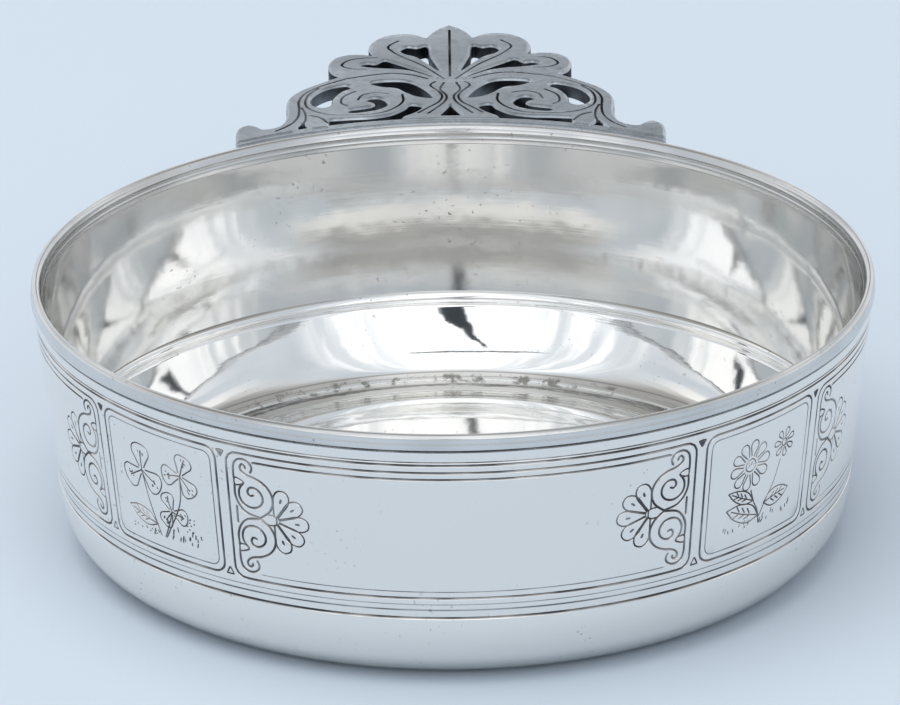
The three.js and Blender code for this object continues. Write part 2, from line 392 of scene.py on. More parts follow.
def apple(middle, reach):
    """Its outline, stalk, hollow and shading."""
    x, y = middle
    ring = [(0, 0.8), (0.5, 0.98), (0.95, 0.62), (1.0, 0), (0.72, -0.72), (0.25, -0.98), (0, -0.88),
            (-0.25, -0.98), (-0.72, -0.72), (-1.0, 0), (-0.95, 0.62), (-0.5, 0.98)]
    stalk = [(0, 0.78), (0.1, 1.1), (0.3, 1.4)]
    hollow = [(-0.28, 0.8), (0, 0.66), (0.28, 0.8)]
    lines = [smooth([(x + a * reach, y + b * reach) for a, b in ring], 4, True)]
    for points in (stalk, hollow):
        lines.append(smooth([(x + a * reach, y + b * reach) for a, b in points]))
    lines += dashes((x + 0.45 * reach, y - 0.25 * reach), (0.3 * reach, 0.5 * reach), 22, 62, 0.6)
    lines += dashes((x - 0.5 * reach, y - 0.55 * reach), (0.2 * reach, 0.2 * reach), 5, 100, 0.5)
    return lines


def apple_branch():
    lines = [smooth([(-8.6, 6.9), (-4.5, 5.6), (-0.4, 5.4), (3.8, 6.2), (8.4, 5.2)])]
    lines.append(smooth([(-8.4, 6.3), (-4.4, 5.0), (-0.4, 4.8), (3.7, 5.6), (7.0, 5.0)]))
    lines += apple((-2.7, -1.7), 4.0)
    lines += apple((5.0, -0.9), 2.9)
    lines += leaf((-4.4, 5.0), (-8.4, 0.2), 1.3)
    lines += leaf((0.9, 5.0), (2.6, -0.4), 1.0)
    lines += leaf((-1.0, 5.5), (2.8, 8.3), 0.8)
    lines += leaf((4.2, 5.7), (8.4, 2.2), 0.9)
    lines += dashes((2.6, -6.6), (3.6, 0.7), 12, 10, 0.7)
    return lines


def wheat_sheaf():
    lines = []
    for lean in (-34, -17, 0, 17, 34):
        root = (lean * 0.012, -2.2)
        tip = away(root, 90 - lean, 5.4)
        lines.append(smooth([(lean * -0.07, -7.8), (lean * -0.03, -5.0), root, tip]))
        for k in range(5):
            start = away(root, 90 - lean, 3.9 + 1.15 * k)
            for side in (1, -1):
                lines.append(smooth(petal(start, 90 - lean + 34 * side, 1.7, 0.42), 2))
    lines.append(smooth([(-1.6, -3.3), (0, -3.8), (1.6, -3.3)]))
    lines.append(smooth([(-1.5, -2.7), (0, -3.1), (1.5, -2.7)]))
    lines += leaf((1.0, -4.4), (6.8, -6.6), 1.0)
    lines += leaf((-1.0, -4.4), (-6.8, -6.6), 1.0)
    return lines


def clover_plant():
    lines = []
    for middle, reach, start in (((-3.9, 2.6), 4.6, 90), ((4.7, 4.0), 3.9, 70), ((2.2, -3.0), 3.3, 110)):
        for k in range(3):
            angle = start + 120 * k
            lines.append(smooth(petal(middle, angle, reach, reach * 0.46), 4))
            lines.append(np.array([middle, away(middle, angle, reach * 0.72)]))
            side = away(middle, angle, reach * 0.66)
            lines += dashes(side, (0.16 * reach, 0.16 * reach), 6, angle, 0.3)
    lines.append(smooth([(-3.9, 2.6), (-2.8, -2.4), (-0.8, -8.0)]))
    lines.append(smooth([(4.7, 4.0), (4.2, -0.8), (0.4, -8.0)]))
    lines.append(smooth([(2.2, -3.0), (1.4, -5.2), (0.1, -8.0)]))
    lines += leaf((-1.4, -6.2), (-8.0, -4.6), 1.3)
    lines += dashes((5.0, -7.2), (3.6, 0.9), 18, 84, 0.8)
    lines += dashes((-4.6, -7.8), (3.4, 0.5), 16, 30, 0.25)
    lines += dashes((6.6, -4.6), (1.6, 1.4), 12, 30, 0.2)
    return lines


dots_draw = random.Random(11)
PLANTS = (daisy_plant, apple_branch, wheat_sheaf, clover_plant)
PLANT_SCALE = 0.93


def etch_repeat(plant):
    """One repeat of the band: half a cartouche, a square and the next half cartouche."""
    drawing = Drawing()
    half_square = SQUARE_ANGLE * BAND_MIDDLE_RADIUS / 2
    middle = REPEAT_WIDTH / 2
    dividers = (middle - half_square, middle + half_square)

    for height, width, share in BAND_LINES:
        drawing.line([(x, height) for x in DEGREES], width, CUT * share, capped=False)

    # The half frames of the two cartouches, which meet those of the next repeat at the border
    for end, sign in ((dividers[0], -1), (dividers[1], 1)):
        border = 0 if sign < 0 else REPEAT_WIDTH
        near = end + sign * FRAME_INSET
        far = border + sign * 10
        box = rounded_frame(min(near, far), max(near, far), FRAME_FOOT, FRAME_TOP, FRAME_CORNER)
        half = sorted((p for p in box if (p[0] - border) * sign < 0), key=lambda p: p[1])
        line = [(border, FRAME_FOOT), *half, (border, FRAME_TOP)]
        drawing.line(even(line, 0.9), LINE, CUT, capped=False)
        start = end + sign * CARTOUCHE_LINES_START
        for height, width, share in CARTOUCHE_LINES:
            inner = even([(start, height), (border, height)], 1.0)
            drawing.line(inner, width, CUT * share, capped=False)

        for points, width, depth, closed in cartouche_end():
            placed = [(end + sign * x, FRAME_TOP - y) for x, y in points]
            curve = placed if len(placed) == 2 else smooth(placed, 5, closed)
            drawing.line(even(curve, 0.34, closed), width, depth, closed)

    # The square's two frames and its plant
    left, right = dividers[0] + FRAME_INSET, dividers[1] - FRAME_INSET
    for gap, corner, width, share in SQUARE_FRAMES:
        box = rounded_frame(left + gap, right - gap, FRAME_FOOT + gap, FRAME_TOP - gap, corner)
        drawing.line(even(box, 0.6, True), width, CUT * share, True)
    plant_middle = (FRAME_FOOT + FRAME_TOP) / 2
    for line in plant():
        placed = [(middle + x * PLANT_SCALE, plant_middle + y * PLANT_SCALE) for x, y in line]
        drawing.line(even(placed, 0.36), FINE_LINE, CUT * 0.7)

    # The small triangles between the frames' corners
    for x in dividers:
        for tip, base in ((FRAME_TOP - 1.15, FRAME_TOP - 0.1), (FRAME_FOOT + 1.35, FRAME_FOOT + 0.15)):
            corners = [(x - 0.62, base), (x + 0.62, base), (x, tip)]
            drawing.line(even(corners, 0.3, True), FINE_LINE, CUT, True)
            if base > tip:
                drawing.line([(x, base - 0.12), (x, tip + 0.35)], 0.8, CUT)
    return drawing


def etched_repeat_mesh(plant):
    """The repeat's places, triangles and depths, with the same places on both of its borders."""
    drawing = etch_repeat(plant)
    places = np.array(drawing.places)
    on_border = (places[:, 0] < 1e-6) | (places[:, 0] > REPEAT_WIDTH - 1e-6)
    crossings = list(places[on_border, 1])
    rows = np.linspace(ETCH_FOOT, ETCH_TOP, FILL_ROWS)
    fill = [z for z in rows if min(abs(z - c) for c in crossings) > 0.4]
    heights = sorted({round(float(z), 5) for z in [*crossings, *fill, ETCH_FOOT, ETCH_TOP]})
    for x in (0, REPEAT_WIDTH):
        drawing.chain([(x, z) for z in heights])
    for z in (ETCH_FOOT, ETCH_TOP):
        drawing.chain([(x, z) for x in DEGREES])
    grid = np.array([(x, z) for x in DEGREES[1:-1:2] for z in rows[1:-1]])
    flat, faces = drawing.triangles(drawing.clear_of_cuts(grid, 0.45))
    a, b, c = (flat[faces[:, k]] for k in range(3))
    flat_faces = np.abs(np.cross(b - a, c - a)) < 1e-5  # slivers along the straight borders
    return flat, faces[~flat_faces], drawing.depth_at(flat)


# Meshes


def put(name, data):
    """A new object in the scene."""
    made = bpy.data.objects.new(name, data)
    bpy.context.collection.objects.link(made)
    return made


def mesh_object(name, places, faces, oxide_and_shade, steady=None, sharp=32, merge=None):
    """A smooth-shaded mesh. Its fourth argument darkens its places, where they are oxidised and where shade
    is painted, and steady marks faces for set_steady_normals.
    """
    mesh = bpy.data.meshes.new(name)
    mesh.from_pydata([tuple(p) for p in np.asarray(places) * MM], [], [tuple(map(int, f)) for f in faces])
    layer = mesh.attributes.new("oxide_and_shade", "FLOAT", "POINT")
    layer.data.foreach_set("value", np.asarray(oxide_and_shade, np.float32))
    if steady is not None:
        layer = mesh.attributes.new("steady", "BOOLEAN", "FACE")
        layer.data.foreach_set("value", np.asarray(steady, bool))
    if merge:
        work = bmesh.new()
        work.from_mesh(mesh)
        bmesh.ops.remove_doubles(work, verts=work.verts, dist=merge * MM)
        bmesh.ops.recalc_face_normals(work, faces=work.faces)
        work.to_mesh(mesh)
        work.free()
    mesh.polygons.foreach_set("use_smooth", np.ones(len(mesh.polygons), bool))
    mesh.set_sharp_from_angle(angle=math.radians(sharp))
    mesh.update()
    return put(name, mesh)


def values_of(elements, name, kind, width=1):
    """One value, or a row of them, for each of a mesh's elements."""
    found = np.empty(len(elements) * width, kind)
    elements.foreach_get(name, found)
    return found.reshape(-1, width) if width > 1 else found


def set_steady_normals(made, normal_at):
    """Corners of steady faces take the true surface's normal, so that reflections run smoothly."""
    mesh = made.data
    normals = values_of(mesh.corner_normals, "vector", np.float32, 3)
    steady = values_of(mesh.attributes["steady"].data, "value", bool)
    corner_steady = np.repeat(steady, values_of(mesh.polygons, "loop_total", np.int32))
    vertex = values_of(mesh.loops, "vertex_index", np.int32)
    places = values_of(mesh.vertices, "co", np.float32, 3)
    normals[corner_steady] = normal_at(places[vertex[corner_steady]])
    mesh.attributes.remove(mesh.attributes["steady"])
    mesh.normals_split_custom_set(normals.tolist())


def turned(profile, sides=ROUND_SIDES, closed=False):
    """Places and faces of a profile turned about the bowl's axis; points on the axis are single."""
    places, faces, rings = [], [], []
    for radius, height in profile:
        if radius < 1e-6:
            rings.append([len(places)] * sides)
            places.append((0.0, AXIS_Y, height))
            continue
        rings.append(list(range(len(places), len(places) + sides)))
        for k in range(sides):
            angle = 2 * math.pi * k / sides
            places.append((radius * math.sin(angle), AXIS_Y - radius * math.cos(angle), height))
    pairs = list(zip(rings, rings[1:]))
    if closed:
        pairs.append((rings[-1], rings[0]))
    for low, high in pairs:
        for k in range(sides):
            corners = dict.fromkeys([low[k], low[(k + 1) % sides], high[(k + 1) % sides], high[k]])
            if len(corners) > 2:
                faces.append(list(corners))
    return places, faces


# The bowl


def band_radius(height):
    return BAND_FOOT_RADIUS + BAND_DRAFT * (height - BAND_FOOT) / (BAND_TOP - BAND_FOOT)


def outer_base():
    """From the resting ring up a full curve to the groove."""
    made = []
    for turn in np.linspace(math.pi / 2, 0, 25):
        across = max(math.cos(turn), 0.0) ** (2 / BASE_FULLNESS)
        down = math.sin(turn) ** (2 / BASE_FULLNESS)
        made.append((REST_RADIUS + (BAND_FOOT_RADIUS - REST_RADIUS) * across, BAND_FOOT * (1 - down)))
    return [p for p in made if p[1] < BAND_FOOT - GROOVE_WIDTH / 2]


def floor_curve(ring_radius, floor, gutter_steps=18, dome_steps=14):
    """From the resting ring up the gutter's side and over the low dome to the axis."""
    made = []
    for part in np.linspace(0, 1, gutter_steps + 1):
        rise = GUTTER_RISE * (1 - math.cos(math.pi * part)) / 2
        made.append((ring_radius - (ring_radius - DOME_RADIUS) * part, floor + rise))
    for part in np.linspace(1, 0, dome_steps + 1)[1:]:
        made.append((DOME_RADIUS * part, floor + GUTTER_RISE + DOME_RISE * (1 - part * part)))
    return made


def inner_wall():
    """From the wall's top edge down over the rolled bead to the curved base."""
    heights = np.linspace(BAND_TOP - 0.1, BEAD_FOOT + BEAD_HEIGHT + 0.25, 14)
    made = [(band_radius(height) - SHEET, height) for height in heights]
    for turn in np.linspace(0, math.pi, 15):
        height = BEAD_FOOT + BEAD_HEIGHT * (1 + math.cos(turn)) / 2
        depth = BEAD_DEPTH * max(math.sin(turn), 0.0) ** 1.3
        made.append((band_radius(height) - SHEET - depth, height))
    return made


def make_bowl():
    """Its outside and inside, joined by the etched band's four repeats."""
    underside = floor_curve(REST_RADIUS - REST_WIDTH, 0, 9, 7)[::-1]
    groove = [
        (BAND_FOOT_RADIUS - 0.02, BAND_FOOT - GROOVE_WIDTH / 2),
        (BAND_FOOT_RADIUS - GROOVE_DEPTH, BAND_FOOT - 0.03),
        (band_radius(ETCH_FOOT), ETCH_FOOT),
    ]
    below = underside + outer_base() + groove
    lip = [
        (band_radius(ETCH_TOP), ETCH_TOP),
        (band_radius(ETCH_TOP) - 0.03, ETCH_TOP + 0.02),
        (band_radius(BAND_TOP) - 0.4, BAND_TOP - 0.02),
        (band_radius(BAND_TOP) - SHEET, BAND_TOP - 0.02),
    ]
    inner_base = [tuple(p) for p in smooth(INNER_BASE, 2)]
    above = lip + inner_wall() + inner_base + floor_curve(*INNER_BASE[-1])[1:]

    places, faces, oxide_and_shade, steady = [], [], [], []
    for profile, dark in ((below, {len(below) - 2: 0.6}), (above, {1: 0.2, 2: 0.3, 3: 1.0})):
        new_places, new_faces = turned(profile)
        first = len(places)
        faces += [[first + v for v in face] for face in new_faces]
        places += new_places
        steady += [False] * len(new_faces)
        for i, (radius, _) in enumerate(profile):
            oxide_and_shade += [dark.get(i, 0.0)] * (1 if radius < 1e-6 else ROUND_SIDES)

    for repeat, plant in enumerate(PLANTS):
        flat, triangles, depth = etched_repeat_mesh(plant)
        angle = REPEAT_ANGLE * repeat + TURNED_BY + flat[:, 0] / BAND_MIDDLE_RADIUS
        radius = band_radius(flat[:, 1]) - depth
        first = len(places)
        across, along = radius * np.sin(angle), AXIS_Y - radius * np.cos(angle)
        places += list(np.stack([across, along, flat[:, 1]], axis=1))
        faces += [[first + v for v in face] for face in triangles]
        oxide_and_shade += list(depth / CUT)
        steady += list((depth[triangles] < 1e-4).all(axis=1))

    made = mesh_object("etched_bowl", places, faces, oxide_and_shade, steady, merge=2e-3)

    def band_normal(where):
        outward = where - np.array([0, AXIS_Y * MM, 0], np.float32)
        outward[:, 2] = 0
        outward /= np.linalg.norm(outward, axis=1, keepdims=True)
        outward[:, 2] = -BAND_DRAFT / (BAND_TOP - BAND_FOOT)
        return outward / np.linalg.norm(outward, axis=1, keepdims=True)

    set_steady_normals(made, band_normal)
    return made


# The rim wire


def make_rim():
    """A moulded wire: a rounded outer face, a creased crown and a stepped inner lip."""
    top, outer = RIM_TOP, RIM_RADIUS
    seam = BAND_TOP + 0.03
    face, crown = [], []
    for share in np.linspace(0, 1, 9):
        inward = FACE_BULGE * (1 - math.sin(math.pi * share))
        face.append((outer - inward, seam + 0.2 + FACE_HEIGHT * share))
    for turn in np.radians(np.linspace(8, 172, 17)):
        inward = CROWN_INWARD - CROWN_HALF_WIDTH * math.cos(turn)
        crown.append((outer - inward, top - CROWN_HEIGHT * (1 - math.sin(turn))))
    profile = [
        (outer - 0.6, seam),
        *face,
        *crown,
        *((outer - inward, top - down) for inward, down in RIM_LIP),
        (outer - 1.3, seam),
    ]
    crease = 1 + len(face) + len(crown)
    dark = {0: 0.4, 1: 0.15, crease + 1: 0.4, crease + 3: 0.35, crease + 5: 0.4, crease + 6: 0.7}
    places, faces = turned(profile, closed=True)
    oxide_and_shade = np.repeat([dark.get(i, 0.0) for i in range(len(profile))], ROUND_SIDES)
    return mesh_object("moulded_rim", places, faces, oxide_and_shade, sharp=40, merge=1e-4)


# The handle: its outline and piercings are drawn with x across and d beyond the rim

LEAF_EDGE = [(0, 46.2), (1.7, 44.5), (3.1, 42.2), (3.9, 40.0)]
UPPER_LOBE = [(3.9, 40.0), (5.2, 41.5), (7.4, 42.4), (10.4, 42.0), (12.6, 39.8), (13.3, 37.0), (12.9, 34.4),
              (12.2, 32.7)]
LOWER_LOBE = [(12.2, 32.7), (14.5, 33.9), (17.1, 34.3), (19.0, 33.3), (19.8, 30.2), (19.1, 26.5),
              (17.8, 24.6)]
FRAME_EDGE = [(17.8, 24.6), (21.3, 22.4), (24.2, 20.3), (25.9, 17.7), (26.3, 14.7), (26.1, 11.0),
              (26.3, 7.9), (27.0, 5.9), (28.3, 5.1), (29.8, 5.3)]
PLATE_SETBACK = 1.7
FOOT_EDGE = [(29.8, 5.3), (31.0, 7.5), (32.2, 8.7), (33.6, 8.4), (34.0, 6.8), (34.0, PLATE_SETBACK)]

BESIDE_LEAF = [(8.0, 34.9), (6.9, 36.2), (5.4, 35.6), (3.9, 36.4), (3.3, 31.9), (2.2, 26.9), (1.6, 24.1),
               (3.6, 27.8), (5.4, 31.1), (7.4, 33.0)]
BETWEEN_LOBES = [(14.8, 29.0), (13.5, 29.6), (12.2, 29.0), (10.6, 30.4), (9.3, 29.2), (6.2, 25.9),
                 (3.2, 22.6), (2.2, 20.9), (4.6, 23.3), (6.4, 24.8), (9.0, 26.0), (11.2, 26.7), (14.0, 28.1)]
OVER_VOLUTE = [(13.0, 20.2), (10.3, 20.6), (7.0, 19.8), (4.9, 17.3), (3.2, 13.6), (2.9, 11.6), (5.2, 12.5),
               (6.7, 14.2), (8.5, 16.8), (11.1, 18.0)]
BESIDE_VOLUTE = [(16.6, 20.0), (19.5, 19.7), (21.6, 17.8), (22.4, 15.1), (21.8, 12.3), (20.4, 10.9),
                 (19.2, 11.8), (18.9, 14.7), (17.5, 17.5), (16.2, 18.5)]
INSIDE_VOLUTE = [(13.6, 12.0), (12.9, 13.0), (11.6, 12.9), (10.4, 11.3), (10.2, 9.4), (11.2, 7.9),
                 (13.0, 7.1), (16.0, 7.1), (16.2, 8.5), (14.2, 8.8), (12.6, 9.2), (12.0, 10.3), (12.8, 11.3)]
UNDER_VOLUTE = [(19.3, 4.9), (15.9, 4.4), (12.7, 4.0), (9.5, 4.8), (7.2, 7.2), (6.4, 8.8), (4.6, 7.9),
                (5.3, 5.9), (7.6, 3.6)]
UNDER_VOLUTE_FOOT = [(8.5, 1.0), (19.2, 1.0)]
CENTRE_CORNERS = [(0, 8.2), (1.9, 3.4), (-1.9, 3.4)]
FOOT_CORNERS = [(23.5, 5.0), (25.2, 1.0), (21.9, 1.0)]
STRIP_INNER = 0.3
STRIP_OUTER = 2.9
STRIP_DROP = 0.2  # the strip's top below the plate's
PLATE_FOOT = HANDLE_TOP - 2.38
STRIP_FOOT = HANDLE_TOP - 2.48
BEVEL = ((0.0, 0.4), (0.18, 0.14), (0.46, 0.0))  # in from an edge, and how far the top drops there
EDGE_HEIGHT = 0.75  # from the top down to the row where an edge's upright side starts
OUTLINE_STEP = 0.42  # between places along an outline
GRID_STEP = 1.1  # between places on the plate's top
CHASED_STEP = 0.4
CHASED_WIDTH = 0.55
CHASED_DEPTH = 0.3

# Chased lines of the handle's right half, each with its share of the depth
CHASED = [
    ([(8.4, 39.0), (10.1, 36.4), (9.2, 33.7), (7.9, 31.4), (4.5, 26.7), (0.9, 20.1)], 1.0),
    ([(13.6, 26.6), (16.2, 27.5), (17.6, 29.4), (16.6, 31.4), (14.2, 31.9), (11.9, 31.6)], 1.0),
    ([(16.9, 22.8), (13.0, 23.4), (9.4, 23.6), (6.2, 22.3), (3.6, 20.3)], 0.6),
    ([(21.2, 19.9), (22.8, 17.6), (23.3, 14.6), (22.9, 11.8), (21.6, 9.4), (19.9, 7.6), (18.2, 6.6)], 0.9),
    ([(10.6, 27.9), (12.3, 28.5)], 0.6),
    ([(16.9, 22.8), (20.6, 20.9), (23.2, 18.6), (24.3, 15.6), (24.2, 11.6), (24.4, 7.9), (25.6, 5.0),
      (27.8, 3.2)], 1.0),
    ([(23.8, 12.0), (23.2, 9.2), (23.2, 5.6), (24.0, 3.6)], 0.8),
    ([(19.6, 3.6), (20.8, 6.2), (22.6, 8.0)], 0.7),
    ([(2.3, 19.0), (3.2, 17.4), (1.9, 14.4), (1.3, 12.2), (1.9, 9.4), (3.6, 6.9), (5.2, 4.6)], 1.0),
    ([(1.0, 18.4), (1.6, 15.4), (0.6, 12.2), (0.9, 9.6), (2.4, 6.4), (3.6, 4.2)], 0.7),
    ([(15.2, 16.7), (17.3, 14.4), (17.4, 11.6), (16.4, 10.0)], 1.0),
    ([(7.7, 13.6), (7.6, 10.4), (9.0, 7.4), (11.4, 5.6), (14.8, 5.7), (18.2, 6.6)], 1.0),
    ([(14.9, 12.3), (14.2, 14.4), (12.2, 15.2), (9.9, 14.2)], 0.9),
]
LEAF_VEIN = [(0, 43.4), (0, 34.0), (0, 21.2)]


def on_plan(point):
    """A place of the handle's drawing, on the plan about the bowl's axis."""
    x, d = point
    return (x, AXIS_Y + math.sqrt(RIM_RADIUS**2 - x * x) + d)


def mirrored(points):
    return [(-x, d) for x, d in points][::-1]


def plan_curve(points, closed=False):
    return smooth([on_plan(p) for p in points], 8, closed)


def plate_outline():
    right = [plan_curve(part) for part in (LEAF_EDGE, UPPER_LOBE, LOWER_LOBE, FRAME_EDGE, FOOT_EDGE)]
    right = np.vstack([part[:-1] for part in right] + [[on_plan(FOOT_EDGE[-1])]])
    near = [on_plan((HANDLE_HALF_WIDTH * (1 - 2 * i / 60), PLATE_SETBACK)) for i in range(1, 30)]
    left = (right * [-1, 1])[::-1]
    near_left = [(-x, y) for x, y in near[::-1]]
    return np.vstack([right, near, near_left, left[:-1]])


def strip_outline():
    inner, outer = RIM_RADIUS + STRIP_INNER, RIM_RADIUS + STRIP_OUTER
    made = []
    for radius, sign in ((inner, 1), (outer, -1)):
        reach = math.asin((HANDLE_HALF_WIDTH - 0.03) / radius)
        for angle in np.linspace(reach, -reach, 60):
            made.append((radius * math.sin(angle * sign), AXIS_Y + radius * math.cos(angle)))
    return np.array(made)


def piercings():
    loops = []
    for loop in (BESIDE_LEAF, BETWEEN_LOBES, OVER_VOLUTE, BESIDE_VOLUTE, INSIDE_VOLUTE):
        loops += [plan_curve(loop, True), plan_curve(mirrored(loop), True)]
    notch = np.vstack([plan_curve(UNDER_VOLUTE), [on_plan(p) for p in UNDER_VOLUTE_FOOT]])
    loops += [notch, notch[::-1] * [-1, 1]]
    for corners in (CENTRE_CORNERS, FOOT_CORNERS, mirrored(FOOT_CORNERS)):
        loops.append(even([on_plan(p) for p in corners], 0.7, True))
    return loops


def boundary_edges(triangles):
    """Edges that only one triangle has, in that triangle's direction."""
    edges = np.vstack([triangles[:, [0, 1]], triangles[:, [1, 2]], triangles[:, [2, 0]]])
    keys = {}
    for a, b in edges:
        keys.setdefault((min(a, b), max(a, b)), []).append((a, b))
    return np.array([found[0] for found in keys.values() if len(found) == 1])


def slab(drawing, loops, top, foot, fill=()):
    """A closed plate over a drawing's inside, with bevelled edges and its lines cut in."""
    for k, loop in enumerate(loops):
        area = np.cross(loop, np.roll(loop, -1, axis=0)).sum()
        inward = directions(loop, True)[1] * np.sign(area) * (1 if k == 0 else -1)
        drawing.chain(loop, True)
        for reach, _ in BEVEL[1:]:
            drawing.chain(loop + inward * reach, True)
    starts = np.vstack(loops)
    ends = np.vstack([np.roll(loop, -1, axis=0) for loop in loops])
    places, triangles = drawing.triangles(fill)
    middles = places[triangles].mean(axis=1)
    kept = inside_loop(middles, loops[0])
    for hole in loops[1:]:
        kept &= ~inside_loop(middles, hole)
    triangles = triangles[kept]
    gap = distance_to_segments(places, starts, ends)
    drop = np.interp(gap, [b[0] for b in BEVEL], [b[1] for b in BEVEL])
    depth = drawing.depth_at(places)
    count = len(places)
    levels = (top - drop - depth, np.full(count, top - EDGE_HEIGHT), np.full(count, foot))
    shell = np.vstack([np.column_stack([places, level]) for level in levels])
    faces = triangles.tolist() + (triangles[:, ::-1] + 2 * count).tolist()
    border = boundary_edges(triangles)
    for below in (0, count):
        for a, b in (border + below).tolist():
            faces.append([b, a, a + count, b + count])
    # Slightly darker right along the edges of the outline and the piercings
    edge_darkening = np.clip(1 - gap / 0.1, 0, 1) * 0.1
    # The piercings' walls and the plate's underside take the full dark colour: oxidised silver held in the
    # piercings, with painted shade in these recesses as well
    oxide_and_shade = np.concatenate([np.maximum(np.clip(depth / 0.2, 0, 1), edge_darkening), np.ones(2 * count)])
    steady = ((drop + depth)[triangles] < 1e-4).all(axis=1)
    steady = np.concatenate([steady, np.zeros(len(faces) - len(steady), bool)])
    used = np.unique(triangles)
    keep = np.concatenate([used, np.unique(border) + count, used + 2 * count])
    number = np.full(3 * count, -1)
    number[keep] = np.arange(len(keep))
    return shell[keep], [[int(number[v]) for v in face] for face in faces], oxide_and_shade[keep], steady


def make_handle():
    """The pierced plate, and the strip under its near edge."""
    loops = [even(loop, OUTLINE_STEP, True) for loop in (plate_outline(), *piercings())]
    drawing = Drawing()
    for points, share in CHASED:
        for side in (1, -1):
            line = even(plan_curve(points) * [side, 1], CHASED_STEP)
            drawing.line(line, CHASED_WIDTH, CHASED_DEPTH * share)
    drawing.line(even(plan_curve(LEAF_VEIN), CHASED_STEP), CHASED_WIDTH, CHASED_DEPTH)
    low, high = loops[0].min(axis=0), loops[0].max(axis=0)
    columns, rows = (np.arange(low[k], high[k], GRID_STEP) for k in range(2))
    grid = np.array([(x, y) for x in columns for y in rows])
    plate = slab(drawing, loops, HANDLE_TOP, PLATE_FOOT, drawing.clear_of_cuts(grid, 0.5))
    strip = slab(Drawing(), [even(strip_outline(), 0.6, True)], HANDLE_TOP - STRIP_DROP, STRIP_FOOT)
    first = len(plate[0])
    places = np.vstack([plate[0], strip[0]])
    faces = plate[1] + [[v + first for v in face] for face in strip[1]]
    oxide_and_shade, steady = (np.concatenate([plate[k], strip[k]]) for k in (2, 3))
    made = mesh_object("scroll_handle", places, faces, oxide_and_shade, steady)
    set_steady_normals(made, lambda where: np.tile(np.float32([0, 0, 1]), (len(where), 1)))
    return made


# Finishes


class Signal:
    """A socket with the sums that the finishes are written in."""

    def __init__(self, sheet, socket):
        self.sheet = sheet
        self.socket = socket

    def reckon(self, operation, *values):
        return self.sheet.node("ShaderNodeMath", {"operation": operation}, dict(enumerate(values)))

    def __add__(self, other):
        return self.reckon("ADD", self, other)

    def __sub__(self, other):
        return self.reckon("SUBTRACT", self, other)

    def __rsub__(self, other):
        return self.reckon("SUBTRACT", other, self)

    def __mul__(self, other):
        return self.reckon("MULTIPLY", self, other)

    __radd__ = __add__
    __rmul__ = __mul__

    def size(self):
        return self.reckon("ABSOLUTE", self)

    def at_least(self, other):
        return self.reckon("MAXIMUM", self, other)

    def between(self, low, high):
        """0 below low, 1 above high and a smooth rise from one to the other."""
        sockets = {"Value": self, "From Min": low, "From Max": high}
        return self.sheet.node("ShaderNodeMapRange", {"interpolation_type": "SMOOTHSTEP"}, sockets)


class FinishSheet:
    """The nodes of a material or world, cleared for its finish."""

    def __init__(self, owner):
        owner.use_nodes = True
        self.tree = owner.node_tree
        self.tree.nodes.clear()

    def node(self, kind, settings=None, sockets=None, output=0):
        """A node with its settings, then its sockets' values or links."""
        made = self.tree.nodes.new(kind)
        for name, value in (settings or {}).items():
            setattr(made, name, value)
        for name, value in (sockets or {}).items():
            if isinstance(value, Signal):
                self.tree.links.new(value.socket, made.inputs[name])
            else:
                made.inputs[name].default_value = value
        return Signal(self, made.outputs[output]) if made.outputs else None

    def blend(self, share, first, second):
        """From the first colour to the second."""
        sockets = {0: share, 6: first, 7: second}
        return self.node("ShaderNodeMix", {"data_type": "RGBA"}, sockets, 2)

    def noise(self, where, scale, detail=4.0, roughness=0.55):
        sockets = {"Vector": where, "Scale": scale, "Detail": detail, "Roughness": roughness}
        return self.node("ShaderNodeTexNoise", None, sockets)

    def parts_of(self, vector):
        first = self.node("ShaderNodeSeparateXYZ", None, {0: vector})
        return [Signal(self, socket) for socket in first.socket.node.outputs]

    def joined(self, x, y, z):
        return self.node("ShaderNodeCombineXYZ", None, {0: x, 1: y, 2: z})


def colour(red, green, blue):
    return (red, green, blue, 1.0)


WORN_RING = 0.0528  # radius of the worn ring at the foot of the inner wall, in metres
WALL_FOOT = (0.0125, 0.0145)  # heights in metres where the floor's polish and colour give way to the wall's rougher polish and painted shade
